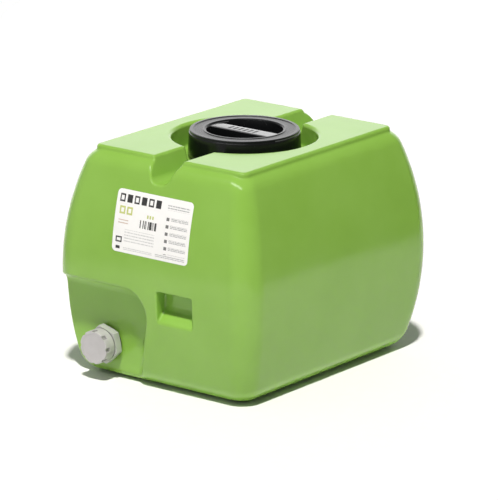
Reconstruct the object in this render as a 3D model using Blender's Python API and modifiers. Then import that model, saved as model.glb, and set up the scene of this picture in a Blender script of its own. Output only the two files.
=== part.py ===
# A 50 litre household water tank: rotationally moulded shell with a screw filler cap and a drain.
# Metres, +Z up. The origin is under the middle of the flat base. The end that carries the label,
# the hand pocket and the drain faces -Y, and the long axis lies along Y.
import math

import bpy
import bmesh
from mathutils import Matrix

# Tank shell, outside
tank_width = 0.384           # X, at the widest line
tank_length = 0.472          # Y, at the widest line
pad_top = 0.360              # height of the two flat pads
widest_height = 0.166        # height of the widest line
shoulder_inset = 0.0251      # how far the walls have come in where the shoulder starts
base_fillet = 0.041
shoulder_fillet = 0.035
pad_rise = 0.0035            # of the pads above the roof's own curve
corner_radius = 0.0395       # upright corners, at the widest line
corner_taper = 0.35          # share of the wall's inward slope that the corner radius loses
wall = 0.004

# Raised pads on the roof, split by the strap channel
pad_side_margin = 0.045      # X, from the widest line in to the pads
pad_end_margin = 0.049       # Y
pad_corner = 0.009
pad_edge = 0.004
channel_top_width = 0.056
channel_floor_width = 0.029
channel_depth = 0.0365

# Neck, with its filler thread, in a round well
neck_radius = 0.0795
fill_pitch = 0.010
ridge_height = 0.003
ridge_root = 0.0034
ridge_crest = 0.0018
neck_thread_turns = 2.2
neck_thread_drop = 0.0034    # from the rim down to the ridge's upper end
thread_clearance = 0.0015
collar_overhang = 0.0035     # beyond the cap's skirt
collar_height = 0.005
well_depth = 0.0382
well_gap = 0.025             # finger room between the cap and the well's wall
well_lip = 0.006

# Filler cap
cap_stand = 0.010            # of the cap's rim above the pads
cap_wall = 0.004
cap_rim_step = 0.0015
cap_skirt_gap = 0.0017       # between the skirt and the collar
cap_thread_turns = 0.9
cap_recess_gap = 0.0119      # between the grip hollow and the neck's bore
cap_recess_depth = 0.020
cap_bar_width = 0.027
cap_bar_drop = 0.0025        # from the rim down to the bar's top
gasket_thickness = 0.003
gasket_width = 0.0085

# Corner recess for the drain
recess_depth = 0.0325        # of its flat back below the widest line of the end wall
recess_top = 0.159
recess_arch_radius = 0.044
recess_arch_offset = 0.055   # X, from the drain's axis to the centre of the arch's round corner
recess_lean = math.radians(11.0)

# Hand pockets
pocket_width = 0.068
pocket_x = 0.0485
pocket_top = 0.164
pocket_bottom = 0.112
pocket_depth = 0.022
pocket_floor_depth = 0.015   # depth of the back wall's foot
pocket_floor_rise = 0.015

# Drain fitting, its axis along Y
drain_side_margin = 0.086    # X, from the widest line of the side wall to the axis
drain_z = 0.054
shank_radius = 0.0205
shank_inside = 0.020         # beyond the inner face of the wall
hex_land = 0.006             # from the shank out to the hexagon's flats
hex_length = 0.014
hex_turn = math.radians(-17.0)
spigot_radius = 0.0155
spigot_length = 0.0145
spigot_wall = 0.003
packing_thickness = 0.0024
packing_land = 0.005         # from the shank out to the packings' edge
lock_nut_land = 0.0075
lock_nut_length = 0.010
drain_cap_wall = 0.0092
drain_cap_face = 0.0035
drain_cap_back_gap = 0.0009  # between the cap's skirt and the hexagon
notch_count = 8
notch_radius = 0.0045
notch_depth = 0.0013
notch_length = 0.008

# Drain thread
drain_pitch = 0.004
drain_ridge_height = 0.0012
drain_ridge_root = 0.0014
drain_ridge_crest = 0.0007
drain_thread_clearance = 0.0004
spigot_thread_turns = 2.8
spigot_thread_drop = 0.0015
drain_cap_thread_turns = 1.5

# Label
label_width = 0.147
label_height = 0.0945
label_drop = 0.0515          # from the pads down to its upper edge
label_corner = 0.007
label_thickness = 0.0003

fit = 0.0003                 # gap between pieces that touch
past = 0.02                  # how far cutters run beyond what they cut
round_steps = 48
small_round_steps = 32

# Worked out from the sizes above
half_width = tank_width / 2
half_length = tank_length / 2
shoulder_height = pad_top - pad_rise
shoulder_centre = shoulder_height - shoulder_fillet
side_rise = shoulder_centre - widest_height
side_radius = (side_rise ** 2 + shoulder_inset ** 2) / (2 * shoulder_inset)
channel_floor = pad_top - channel_depth
well_floor = pad_top - well_depth
collar_top = well_floor + collar_height
cap_top = pad_top + cap_stand
cap_under = cap_top - cap_wall
cap_skirt_bottom = collar_top + cap_skirt_gap
cap_inner_radius = neck_radius + ridge_height + thread_clearance
cap_radius = cap_inner_radius + cap_wall
cap_recess_radius = neck_radius - wall - cap_wall - cap_recess_gap
neck_top = cap_under - gasket_thickness - 2 * fit
collar_radius = cap_radius + collar_overhang
well_radius = cap_radius + well_gap
drain_x = drain_side_margin - half_width
drain_bore = spigot_radius - spigot_wall
drain_cap_inner = spigot_radius + drain_ridge_height + drain_thread_clearance
drain_cap_radius = drain_cap_inner + drain_cap_wall

# Distances along the drain's axis, out of the tank, from the frame's middle
recess_plane = half_length - recess_depth
hex_back = recess_plane + 2 * fit + packing_thickness
hex_front = hex_back + hex_length
spigot_end = hex_front + spigot_length
drain_packing_end = spigot_end + fit + packing_thickness
drain_cap_end = drain_packing_end + fit + drain_cap_face
inner_face = recess_plane - wall
inner_packing_back = inner_face - fit - packing_thickness
lock_nut_back = inner_packing_back - fit - lock_nut_length
shank_end = inner_face - shank_inside

colours = {
    "green": ((0.33, 0.55, 0.09), 0.35),
    "black": ((0.012, 0.012, 0.013), 0.32),
    "rubber": ((0.03, 0.03, 0.03), 0.75),
    "grey": ((0.45, 0.45, 0.44), 0.45),
    "white": ((0.9, 0.9, 0.9), 0.4),
}


def clear_scene():
    for old in list(bpy.data.objects):
        bpy.data.objects.remove(old, do_unlink=True)


def make_collection(name):
    collection = bpy.data.collections.new(name)
    bpy.context.scene.collection.children.link(collection)
    return collection


def make_material(name):
    colour, roughness = colours[name]
    material = bpy.data.materials.new(name)
    material.use_nodes = True
    shader = material.node_tree.nodes["Principled BSDF"]
    shader.inputs["Base Color"].default_value = (*colour, 1.0)
    shader.inputs["Roughness"].default_value = roughness
    shader.inputs["Metallic"].default_value = 0.0
    return material


def add_object(name, mesh, collection, material=None):
    obj = bpy.data.objects.new(name, mesh)
    collection.objects.link(obj)
    if material is not None:
        mesh.materials.append(material)
    if collection is cutters:
        obj.hide_render = True
        obj.display_type = "WIRE"
    return obj


def boolean(target, tool, operation):
    step = target.modifiers.new(operation.lower() + " " + tool.name, "BOOLEAN")
    step.operation = operation
    step.object = tool
    step.solver = "EXACT"


def smooth(mesh, angle=math.radians(35.0)):
    mesh.shade_smooth()
    mesh.set_sharp_from_angle(angle=angle)


def arc(centre, radius, start, end, steps):
    """Points on an arc, in a plane, both ends included. Angles are in radians."""
    points = []
    for step in range(steps + 1):
        angle = start + (end - start) * step / steps
        points.append((centre[0] + radius * math.cos(angle), centre[1] + radius * math.sin(angle)))
    return points


def rounded_rectangle(half_x, half_y, radius, steps):
    corners = (
        (half_x - radius, half_y - radius, 0.0),
        (radius - half_x, half_y - radius, 90.0),
        (radius - half_x, radius - half_y, 180.0),
        (half_x - radius, radius - half_y, 270.0),
    )
    points = []
    for x, y, start in corners:
        points += arc((x, y), radius, math.radians(start), math.radians(start + 90.0), steps)
    return points


def loft(name, rings, collection, material=None):
    """A closed solid through rings of equal count, bottom ring first, capped at both ends."""
    mesh_maker = bmesh.new()
    rows = [[mesh_maker.verts.new(point) for point in ring] for ring in rings]
    count = len(rows[0])
    for lower, upper in zip(rows, rows[1:]):
        for i in range(count):
            j = (i + 1) % count
            mesh_maker.faces.new((lower[i], lower[j], upper[j], upper[i]))
    mesh_maker.faces.new(list(reversed(rows[0])))
    mesh_maker.faces.new(rows[-1])
    mesh = bpy.data.meshes.new(name)
    mesh_maker.to_mesh(mesh)
    mesh_maker.free()
    smooth(mesh)
    return add_object(name, mesh, collection, material)


def turned(name, profile, steps, collection, material=None, closed=False):
    """A Screw about Z of a profile of (radius, height) points that runs down its outer side."""
    mesh = bpy.data.meshes.new(name)
    edges = [(i, i + 1) for i in range(len(profile) - 1)]
    if closed:
        edges.append((len(profile) - 1, 0))
    mesh.from_pydata([(radius, 0.0, height) for radius, height in profile], edges, [])
    obj = add_object(name, mesh, collection, material)
    screw = obj.modifiers.new("turn", "SCREW")
    screw.axis = "Z"
    screw.steps = steps
    screw.render_steps = steps
    screw.use_merge_vertices = True
    screw.merge_threshold = 0.00001
    return obj


def prism(name, outline, low, high, collection, turn, material=None):
    """A flat outline made solid between two depths, then turned into place, as a mesh."""
    curve = bpy.data.curves.new(name, "CURVE")
    curve.dimensions = "2D"
    curve.fill_mode = "BOTH"
    curve.extrude = (high - low) / 2
    spline = curve.splines.new("POLY")
    spline.points.add(len(outline) - 1)
    for point, (x, y) in zip(spline.points, outline):
        point.co = (x, y, 0.0, 1.0)
    spline.use_cyclic_u = True
    flat = bpy.data.objects.new(name + " outline", curve)
    bpy.context.scene.collection.objects.link(flat)
    graph = bpy.context.evaluated_depsgraph_get()
    mesh = bpy.data.meshes.new_from_object(flat.evaluated_get(graph))
    bpy.data.objects.remove(flat, do_unlink=True)
    mesh.name = name
    mesh_maker = bmesh.new()
    mesh_maker.from_mesh(mesh)
    bmesh.ops.remove_doubles(mesh_maker, verts=mesh_maker.verts, dist=0.00001)
    bmesh.ops.transform(
        mesh_maker, matrix=turn @ Matrix.Translation((0.0, 0.0, (low + high) / 2)),
        verts=mesh_maker.verts)
    bmesh.ops.recalc_face_normals(mesh_maker, faces=mesh_maker.faces)
    mesh_maker.to_mesh(mesh)
    mesh_maker.free()
    return add_object(name, mesh, collection, material)


def thread_ridge(name, root_radius, height, root, crest, pitch, turns, start, steps, inward):
    """A helical ridge about Z: a trapezium swept up from the height start, sunk into its root."""
    sink = height * 0.3
    sign = -1.0 if inward else 1.0
    section = ((-sink, -root / 2), (height, -crest / 2), (height, crest / 2), (-sink, root / 2))
    total = round(turns * steps)
    rings = []
    for step in range(total + 1):
        turn = (step + 0.5) / steps      # half a step off the wall's own facets
        angle = 2 * math.pi * turn
        rise = start + pitch * turn
        taper = min(1.0, 0.35 + step / 3, 0.35 + (total - step) / 3)
        ring = []
        for proud, offset in section:
            radius = root_radius + sign * (proud * taper if proud > 0.0 else proud)
            ring.append((radius * math.cos(angle), radius * math.sin(angle), rise + offset))
        rings.append(ring if inward else list(reversed(ring)))
    ridge = loft(name, rings, cutters)
    mesh_maker = bmesh.new()
    mesh_maker.from_mesh(ridge.data)
    bmesh.ops.recalc_face_normals(mesh_maker, faces=mesh_maker.faces)
    mesh_maker.to_mesh(ridge.data)
    mesh_maker.free()
    return ridge


# Turns an outline drawn in X and Z, with its depth upwards, so that the depth runs along +Y
along_y = Matrix(((1, 0, 0, 0), (0, 0, 1, 0), (0, 1, 0, 0), (0, 0, 0, 1)))
# Turns an outline drawn in Y and Z so that the depth runs along +X
along_x = Matrix(((0, 0, 1, 0), (1, 0, 0, 0), (0, 1, 0, 0), (0, 0, 0, 1)))


def side_profile(inset, base_steps, side_steps, shoulder_steps):
    """The wall seen from the side, as (reach, height, radius loss) from the base to the roof.

    Reach is 0 at the widest line and negative inwards. The same three arcs serve the outside and,
    with an inset, the inside.
    """
    base_x = -side_radius + math.sqrt(
        (side_radius - base_fillet) ** 2 - (widest_height - base_fillet) ** 2)
    roof_x = -side_radius + math.sqrt((side_radius - shoulder_fillet) ** 2 - side_rise ** 2)
    base_end = math.atan2(base_fillet - widest_height, base_x + side_radius)
    roof_start = math.atan2(side_rise, roof_x + side_radius)
    spans = (
        ((base_x, base_fillet), base_fillet, -math.pi / 2, base_end, base_steps),
        ((-side_radius, widest_height), side_radius, base_end, roof_start, side_steps),
        ((roof_x, shoulder_centre), shoulder_fillet, roof_start, math.pi / 2, shoulder_steps),
    )
    rows = []
    for centre, radius, start, end, steps in spans:
        first = 1 if rows else 0
        for step in range(first, steps + 1):
            angle = start + (end - start) * step / steps
            outer_reach = centre[0] + radius * math.cos(angle)
            reach = outer_reach - inset * math.cos(angle)
            height = centre[1] + (radius - inset) * math.sin(angle)
            rows.append((reach, height, corner_taper * outer_reach - inset * math.cos(angle)))
    return rows


def body_solid(name, inset):
    rings = []
    for reach, height, loss in side_profile(inset, 5, 9, 5):
        outline = rounded_rectangle(
            half_width + reach, half_length + reach, max(corner_radius + loss, wall), 5)
        rings.append([(x, y, height) for x, y in outline])
    return loft(name, rings, cutters)


def pad_solid(name, inset):
    foot = pad_top - 0.7 * channel_depth
    edge = max(pad_edge - inset, wall / 5)
    radius = max(pad_corner - inset, wall / 2)
    half_x = half_width - pad_side_margin - inset
    half_y = half_length - pad_end_margin - inset
    rows = [(0.0, foot)]
    for x, z in arc((-edge, pad_top - inset - edge), edge, 0.0, math.pi / 2, 3):
        rows.append((x, z))
    rings = []
    for reach, height in rows:
        outline = rounded_rectangle(half_x + reach, half_y + reach, radius + reach / 2, 3)
        rings.append([(x, y, height) for x, y in outline])
    return loft(name, rings, cutters)


def channel_cutter(name, grow):
    lean = math.atan2((channel_top_width - channel_floor_width) / 2, pad_top - channel_floor)
    sky = pad_top + past
    low = channel_floor - grow
    sideways = grow / math.cos(lean)

    def half_at(height):
        return channel_floor_width / 2 + (height - channel_floor) * math.tan(lean) + sideways

    outline = [(-half_at(low), low), (half_at(low), low), (half_at(sky), sky), (-half_at(sky), sky)]
    reach = half_length + past
    return prism(name, outline, -reach, reach, cutters, along_y)


def well_cutter(name, grow):
    lip = max(well_lip - grow, wall / 5)
    roof = pad_top - grow
    profile = [(0.0, pad_top + past), (well_radius + grow + lip, pad_top + past)]
    profile += arc((well_radius + grow + lip, roof - lip), lip, math.pi / 2, math.pi, 4)
    profile += [(well_radius + grow, well_floor - grow), (0.0, well_floor - grow)]
    return turned(name, profile, round_steps, cutters)


def recess_cutter(name, grow):
    radius = recess_arch_radius + grow
    centre = (drain_x + recess_arch_offset, recess_top - recess_arch_radius)
    outline = arc(centre, radius, math.pi / 2, -recess_lean, 6)
    foot = -past
    end_x, end_z = outline[-1]
    outline.append((end_x - (end_z - foot) * math.tan(recess_lean), foot))
    left = -half_width - past
    outline += [(left, foot), (left, recess_top + grow)]
    return prism(name, outline, -half_length - past, grow - recess_plane, cutters, along_y)


def pocket_cutter(name, centre_x, end, grow):
    """end is -1 for the end that faces -Y and 1 for the other."""
    out = half_length + past
    slope = pocket_floor_rise / pocket_floor_depth
    lift = pocket_bottom - grow * math.sqrt(1 + slope ** 2)
    outline = [
        (out, pocket_top + grow),
        (half_length - pocket_depth - grow, pocket_top + grow),
        (half_length - pocket_floor_depth - grow, lift + slope * (pocket_floor_depth + grow)),
        (out, lift - slope * (out - half_length)),
    ]
    outline = [(end * y, z) for y, z in outline]
    side = pocket_width / 2 + grow
    return prism(name, outline, centre_x - side, centre_x + side, cutters, along_x)


def cylinder(name, radius, low, high, steps):
    return turned(name, [(0.0, high), (radius, high), (radius, low), (0.0, low)], steps, cutters)


def lay_along_y(obj, aside=0.0, above=0.0):
    """Lays a piece made about +Z on the drain's axis, so that its +Z points out along -Y."""
    obj.location = (drain_x + aside, 0.0, drain_z + above)
    obj.rotation_euler = (math.pi / 2, 0.0, 0.0)


def make_tank_shell():
    shell = body_solid("tank_shell", 0.0)
    cutters.objects.unlink(shell)
    parts.objects.link(shell)
    shell.hide_render = False
    shell.display_type = "TEXTURED"
    shell.data.materials.append(materials["green"])
    hollow = body_solid("hollow", wall)

    boolean(shell, pad_solid("pads", 0.0), "UNION")
    boolean(hollow, pad_solid("pads inside", wall), "UNION")
    for target, grow, side in ((shell, 0.0, " outside"), (hollow, wall, " inside")):
        boolean(target, channel_cutter("channel" + side, grow), "DIFFERENCE")
        boolean(target, well_cutter("well" + side, grow), "DIFFERENCE")
        boolean(target, recess_cutter("recess" + side, grow), "DIFFERENCE")
        boolean(target, pocket_cutter("front pocket" + side, pocket_x, -1, grow), "DIFFERENCE")
        boolean(target, pocket_cutter("rear pocket" + side, 0.0, 1, grow), "DIFFERENCE")

    foot = well_floor - wall / 2
    neck_profile = [
        (0.0, neck_top), (neck_radius - 0.0005, neck_top), (neck_radius, neck_top - 0.0005),
        (neck_radius, collar_top), (collar_radius - 0.001, collar_top),
        (collar_radius, collar_top - 0.001), (collar_radius, foot), (0.0, foot)]
    boolean(shell, turned("neck", neck_profile, round_steps, cutters), "UNION")
    ridge = thread_ridge(
        "neck thread", neck_radius, ridge_height, ridge_root, ridge_crest, fill_pitch,
        neck_thread_turns, neck_thread_start(), round_steps, False)
    boolean(shell, ridge, "UNION")
    boolean(shell, hollow, "DIFFERENCE")
    bore = cylinder("neck bore", neck_radius - wall, well_floor - 3 * wall, neck_top + past, round_steps)
    boolean(shell, bore, "DIFFERENCE")

    hole = cylinder("drain hole", shank_radius + fit, inner_face - wall, half_length, small_round_steps)
    lay_along_y(hole)
    boolean(shell, hole, "DIFFERENCE")
    return shell


def make_fill_cap():
    recess_floor = cap_top - cap_recess_depth
    recess_wall = cap_recess_radius + cap_wall
    rim_radius = cap_radius - cap_rim_step
    edge = 0.0015
    profile = [
        (0.0, recess_floor), (cap_recess_radius, recess_floor), (cap_recess_radius, cap_top - edge),
        (cap_recess_radius + edge, cap_top), (rim_radius - edge, cap_top),
        (rim_radius, cap_top - edge), (rim_radius, cap_under),
        (cap_radius, cap_under - edge), (cap_radius, cap_skirt_bottom),
        (cap_inner_radius, cap_skirt_bottom), (cap_inner_radius, cap_under),
        (recess_wall, cap_under), (recess_wall, recess_floor - cap_wall), (0.0, recess_floor - cap_wall)]
    cap = turned("fill_cap", profile, round_steps, parts, materials["black"])
    half_bar = cap_bar_width / 2
    bar_top = cap_top - cap_bar_drop
    bar_outline = [
        (-half_bar, recess_floor - 0.001), (half_bar, recess_floor - 0.001),
        (half_bar - 0.001, bar_top), (0.001 - half_bar, bar_top)]
    reach = cap_recess_radius + cap_wall / 2
    boolean(cap, prism("grip bar", bar_outline, -reach, reach, cutters, along_x), "UNION")
    ridge = thread_ridge(
        "cap thread", cap_inner_radius, ridge_height, ridge_root, ridge_crest, fill_pitch,
        cap_thread_turns, cap_thread_start(), round_steps, True)
    boolean(cap, ridge, "UNION")
    return cap


def neck_thread_start():
    return neck_top - neck_thread_drop - fill_pitch * neck_thread_turns


def cap_thread_start():
    """Lowest height of the cap's ridge, half a pitch off the neck's ridge at the same angle."""
    start = neck_thread_start() - fill_pitch / 2
    while start < cap_skirt_bottom + ridge_root / 2 + fit:
        start += fill_pitch
    return start


def make_fill_cap_gasket():
    top = cap_under - fit
    bottom = top - gasket_thickness
    inner = neck_radius - wall / 2 - gasket_width / 2
    outer = inner + gasket_width
    profile = [(inner, top), (outer, top), (outer, bottom), (inner, bottom)]
    return turned("fill_cap_gasket", profile, round_steps, parts, materials["rubber"], closed=True)


def hexagon(half_flats, turn):
    radius = half_flats / math.cos(math.pi / 6)
    angles = [turn + i * math.pi / 3 for i in range(6)]
    return [(radius * math.cos(angle), radius * math.sin(angle)) for angle in angles]


def make_drain_socket():
    profile = [
        (0.0, spigot_end), (spigot_radius, spigot_end), (spigot_radius, hex_front - 0.002),
        (shank_radius + 0.002, hex_back + 0.002), (shank_radius, hex_back + 0.002),
        (shank_radius, shank_end), (0.0, shank_end)]
    socket = turned("drain_socket", profile, small_round_steps, parts, materials["grey"])
    block = prism(
        "drain hexagon", hexagon(shank_radius + hex_land, hex_turn), hex_back, hex_front, cutters,
        Matrix.Identity(4))
    boolean(socket, block, "UNION")
    ridge = thread_ridge(
        "spigot thread", spigot_radius, drain_ridge_height, drain_ridge_root, drain_ridge_crest,
        drain_pitch, spigot_thread_turns, spigot_thread_start(), small_round_steps, False)
    boolean(socket, ridge, "UNION")
    bore = cylinder("drain bore", drain_bore, shank_end - past, spigot_end + past, small_round_steps)
    boolean(socket, bore, "DIFFERENCE")
    for piece in (socket, block, ridge, bore):
        lay_along_y(piece)
    return socket


def spigot_thread_start():
    return spigot_end - spigot_thread_drop - drain_pitch * spigot_thread_turns


def make_drain_cap():
    back = hex_front + drain_cap_back_gap
    floor = drain_cap_end - drain_cap_face
    edge = 0.0012
    profile = [
        (0.0, drain_cap_end), (drain_cap_radius - edge, drain_cap_end),
        (drain_cap_radius, drain_cap_end - edge), (drain_cap_radius, back),
        (drain_cap_inner, back), (drain_cap_inner, floor), (0.0, floor)]
    cap = turned("drain_cap", profile, round_steps, parts, materials["grey"])
    lay_along_y(cap)
    reach = drain_cap_radius + notch_radius - notch_depth
    for index in range(notch_count):
        angle = 2 * math.pi * (index + 0.5) / notch_count
        notch = cylinder(
            "notch %d" % (index + 1), notch_radius, drain_cap_end - notch_length, drain_cap_end + past, 16)
        lay_along_y(notch, reach * math.cos(angle), reach * math.sin(angle))
        boolean(cap, notch, "DIFFERENCE")
    ridge = thread_ridge(
        "drain cap thread", drain_cap_inner, drain_ridge_height, drain_ridge_root, drain_ridge_crest,
        drain_pitch, drain_cap_thread_turns, spigot_thread_start() + drain_pitch / 2,
        small_round_steps, True)
    lay_along_y(ridge)
    boolean(cap, ridge, "UNION")
    return cap


def ring(name, inner, outer, low, high, material):
    profile = [(inner, high), (outer, high), (outer, low), (inner, low)]
    obj = turned(name, profile, small_round_steps, parts, materials[material], closed=True)
    lay_along_y(obj)
    return obj


def make_drain_packings():
    hole = shank_radius + fit
    packing_radius = shank_radius + packing_land
    ring("drain_socket_packing", hole, packing_radius, recess_plane + fit, hex_back - fit, "rubber")
    ring("drain_lock_nut_packing", hole, packing_radius, inner_packing_back, inner_face - fit, "rubber")
    ring("drain_cap_packing", drain_bore / 2, spigot_radius, spigot_end + fit, drain_packing_end, "rubber")


def make_drain_lock_nut():
    outline = hexagon(shank_radius + lock_nut_land, 0.0)
    front = lock_nut_back + lock_nut_length
    nut = prism(
        "drain_lock_nut", outline, lock_nut_back, front, parts, Matrix.Identity(4), materials["grey"])
    bore = cylinder("nut bore", shank_radius + fit, lock_nut_back - past, inner_face, small_round_steps)
    boolean(nut, bore, "DIFFERENCE")
    for piece in (nut, bore):
        lay_along_y(piece)
    return nut


def make_label():
    """A thin sheet that follows the bulge of the end wall, as rings across its width."""
    steps = 10
    rings = []

    def wall_point(height, out):
        slope = math.asin((height - widest_height) / side_radius)
        reach = (side_radius + out) * math.cos(slope) - side_radius
        return half_length + reach, widest_height + (side_radius + out) * math.sin(slope)

    middle = pad_top - label_drop - label_height / 2
    outline = rounded_rectangle(label_width / 2, label_height / 2, label_corner, 3)
    columns = sorted({round(x, 7) for x, y in outline})
    for x in columns:
        heights = [y for px, y in outline if abs(px - x) < 1e-6]
        top = max(heights)
        ring_points = []
        for out in (fit, fit + label_thickness):
            upwards = range(steps + 1)
            for step in upwards if out == fit else reversed(upwards):
                height = middle - top + 2 * top * step / steps
                y, z = wall_point(height, out)
                ring_points.append((x, -y, z))
        rings.append(ring_points)
    return loft("label", rings, parts, materials["white"])


clear_scene()
parts = make_collection("water_tank")
cutters = make_collection("cutters")
materials = {name: make_material(name) for name in colours}
make_tank_shell()
make_fill_cap()
make_fill_cap_gasket()
make_drain_socket()
make_drain_cap()
make_drain_packings()
make_drain_lock_nut()
make_label()
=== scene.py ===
import math

import bmesh
import bpy
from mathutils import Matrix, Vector


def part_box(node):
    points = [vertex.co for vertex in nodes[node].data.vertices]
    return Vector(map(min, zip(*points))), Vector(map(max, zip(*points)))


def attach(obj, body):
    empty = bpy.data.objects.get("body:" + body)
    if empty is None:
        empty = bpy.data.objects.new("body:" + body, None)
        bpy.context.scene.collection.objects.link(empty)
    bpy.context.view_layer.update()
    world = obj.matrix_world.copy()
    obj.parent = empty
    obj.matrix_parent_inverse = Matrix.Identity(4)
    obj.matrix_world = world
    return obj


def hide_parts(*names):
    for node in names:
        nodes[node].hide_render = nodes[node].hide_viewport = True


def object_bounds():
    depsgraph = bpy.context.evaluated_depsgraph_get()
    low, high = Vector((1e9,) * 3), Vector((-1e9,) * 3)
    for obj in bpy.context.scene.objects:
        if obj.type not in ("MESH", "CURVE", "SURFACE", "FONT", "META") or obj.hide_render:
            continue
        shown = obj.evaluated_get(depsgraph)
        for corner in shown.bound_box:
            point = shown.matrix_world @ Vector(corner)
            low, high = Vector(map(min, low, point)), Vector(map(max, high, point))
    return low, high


# a 50 litre household water tank: moulded green shell, black filler cap, grey drain fitting and label
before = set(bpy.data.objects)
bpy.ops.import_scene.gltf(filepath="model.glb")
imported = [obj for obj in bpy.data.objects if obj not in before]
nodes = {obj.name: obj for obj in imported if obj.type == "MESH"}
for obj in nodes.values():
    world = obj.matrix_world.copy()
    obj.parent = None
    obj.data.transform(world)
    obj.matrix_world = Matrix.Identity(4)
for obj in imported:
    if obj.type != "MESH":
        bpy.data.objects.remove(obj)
cadLow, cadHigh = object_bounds()
print("frame loaded: %d nodes" % len(nodes))


class Link:
    # A node's socket that can be used in sums: each operator adds the Math node that does it

    def __init__(self, tree, socket=None):
        self.tree = tree
        self.socket = socket

    def node(self, kind, settings=None, values=None, out=0):
        made = self.tree.nodes.new(kind)
        for name, value in (settings or {}).items():
            setattr(made, name, value)
        for key, value in (values or {}).items():
            if isinstance(value, Link):
                self.tree.links.new(value.socket, made.inputs[key])
            else:
                made.inputs[key].default_value = value
        return Link(self.tree, made.outputs[out])

    def other(self, out):
        return Link(self.tree, self.socket.node.outputs[out])

    def math(self, operation, *others):
        return self.node("ShaderNodeMath", {"operation": operation}, dict(enumerate((self, *others))))

    def flipped(self, operation, other):
        return self.node("ShaderNodeMath", {"operation": operation}, {0: other, 1: self})

    def __add__(self, other):
        return self.math("ADD", other)

    def __sub__(self, other):
        return self.math("SUBTRACT", other)

    def __mul__(self, other):
        return self.math("MULTIPLY", other)

    def __truediv__(self, other):
        return self.math("DIVIDE", other)

    def __radd__(self, other):
        return self.flipped("ADD", other)

    def __rsub__(self, other):
        return self.flipped("SUBTRACT", other)

    def __rmul__(self, other):
        return self.flipped("MULTIPLY", other)

    def __neg__(self):
        return self.math("MULTIPLY", -1.0)

    def __abs__(self):
        return self.math("ABSOLUTE")

    def __gt__(self, other):
        return self.math("GREATER_THAN", other)

    def __lt__(self, other):
        return self.math("LESS_THAN", other)

    def root(self):
        return self.math("MAXIMUM", 0.0).math("SQRT")

    def vector(self, operation, *others, out=0):
        values = dict(enumerate((self, *others)))
        return self.node("ShaderNodeVectorMath", {"operation": operation}, values, out)


def highest(a, *others):
    for other in others:
        a = a.math("MAXIMUM", other)
    return a


def lowest(a, *others):
    for other in others:
        a = a.math("MINIMUM", other)
    return a


def choose(mask, yes, no):
    return no + mask * (yes - no)


def length2(a, b):
    return (a * a + b * b).root()


def carve(a, b, radius):
    # keeps what is inside both, with its edge rounded to the radius
    rounded = length2(highest(a + radius, 0.0), highest(b + radius, 0.0))
    return lowest(highest(a, b), -radius) + rounded


def blend(a, b, radius):
    # what is inside either, with the inner corner filled to the radius
    return -carve(-a, -b, radius)


def cut(solid, space, radius):
    return carve(solid, -space, radius)


# node trees, and meshes made from them

def newTree(name, inputs, outputs):
    tree = bpy.data.node_groups.new(name, "GeometryNodeTree")
    kinds = {
        "geometry": "NodeSocketGeometry", "vector": "NodeSocketVector", "material": "NodeSocketMaterial",
        "size": "NodeSocketFloat"}
    for label, kind in inputs.items():
        tree.interface.new_socket(label, in_out="INPUT", socket_type=kinds[kind])
    for label, kind in outputs.items():
        tree.interface.new_socket(label, in_out="OUTPUT", socket_type=kinds[kind])
    start = Link(tree, tree.nodes.new("NodeGroupInput").outputs[0])
    return tree, start


def endTree(link):
    out = link.tree.nodes.new("NodeGroupOutput")
    link.tree.links.new(link.socket, out.inputs[0])


def finishTree(geometry, material):
    real = geometry.node("GeometryNodeRealizeInstances", None, {0: geometry})
    endTree(real.node("GeometryNodeSetMaterial", None, {0: real, "Material": material}))


def addTree(obj, tree, values):
    # the values are set by each socket's identifier, before the object is first evaluated
    step = obj.modifiers.new(tree.name, "NODES")
    step.node_group = tree
    for item in tree.interface.items_tree:
        if item.in_out == "INPUT" and item.name in values:
            step[item.identifier] = values[item.name]


def plainMesh(obj, name):
    # the evaluated object as a plain mesh on a new object, with the old one removed
    graph = bpy.context.evaluated_depsgraph_get()
    mesh = bpy.data.meshes.new_from_object(obj.evaluated_get(graph))
    mesh.name = name
    bpy.data.objects.remove(obj, do_unlink=True)
    return newObject(name, mesh)


def newObject(name, mesh):
    obj = bpy.data.objects.new(name, mesh)
    bpy.context.scene.collection.objects.link(obj)
    return obj


def triangleCount(mesh):
    mesh.calc_loop_triangles()
    return len(mesh.loop_triangles)


# turned pieces: a profile of (radius, height, fillet) corners, spun about +Z
filletSteps = 5
sharpAngle = math.radians(32.0)        # edges that turn more than this stay crisp
softAngle = math.radians(30.0)         # edges that turn more than this can be bevelled


def roundedLine(corners, closed):
    # replaces each corner that has a fillet with an arc of that radius
    points = []
    for i, (r, z, fillet) in enumerate(corners):
        here = Vector((r, z))
        if fillet == 0 or (not closed and i in (0, len(corners) - 1)):
            points.append(here)
            continue
        back = (Vector(corners[i - 1][:2]) - here).normalized()
        on = (Vector(corners[(i + 1) % len(corners)][:2]) - here).normalized()
        half = back.angle(on) / 2
        centre = here + (back + on).normalized() * fillet / math.sin(half)
        first, last = here + back * fillet / math.tan(half), here + on * fillet / math.tan(half)
        sweep = (first - centre).angle_signed(last - centre)
        arm = first - centre
        for step in range(filletSteps + 1):
            angle = -sweep * step / filletSteps
            cosine, sine = math.cos(angle), math.sin(angle)
            points.append(centre + Vector((arm.x * cosine - arm.y * sine, arm.x * sine + arm.y * cosine)))
    return points


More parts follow.
